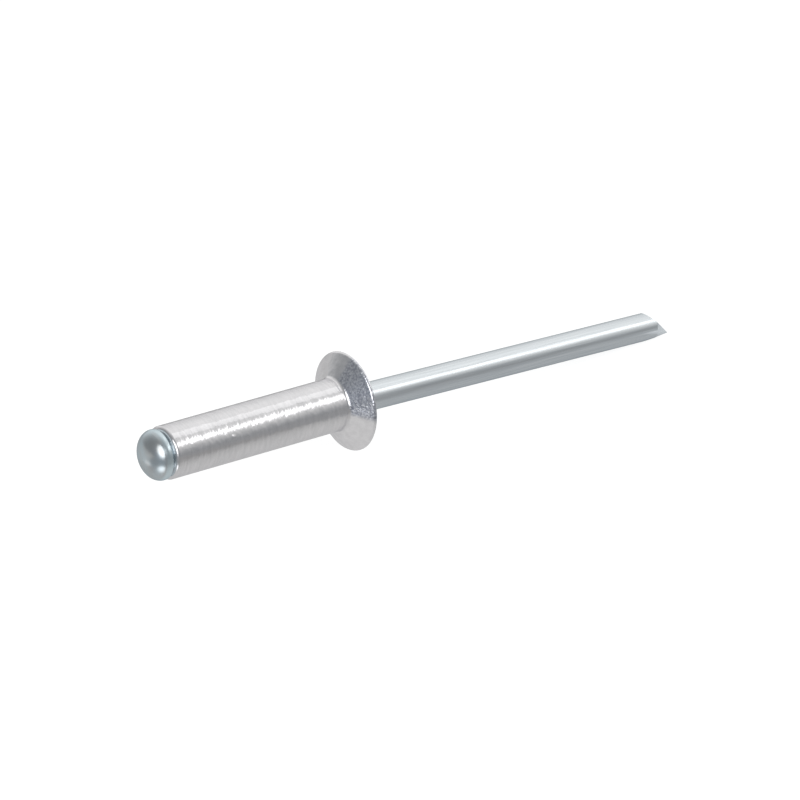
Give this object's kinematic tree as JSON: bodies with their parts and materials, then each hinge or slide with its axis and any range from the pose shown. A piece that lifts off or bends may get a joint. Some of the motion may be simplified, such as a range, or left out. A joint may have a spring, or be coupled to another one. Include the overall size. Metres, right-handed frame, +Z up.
{
  "type": "countersunk blind rivet",
  "caption": "Countersunk blind rivet, not yet set: a flat-headed aluminium sleeve on a steel mandrel with a domed end and a long, slightly bent tail with a pinch-cut tip.",
  "frame": {"origin": "on the surface the rivet lies on, below the middle of its whole length", "axes": "+X along the rivet towards the tip of its tail, +Y across it, +Z up"},
  "size_m": [0.0476, 0.0074, 0.0075],
  "materials": {
    "body_aluminium": "satin",
    "mandrel_steel": "zinc plated, drawn lengthwise"
  },
  "bodies": {
    "root": {"rivet_body": "body_aluminium", "mandrel": "mandrel_steel"}
  },
  "joints": []
}
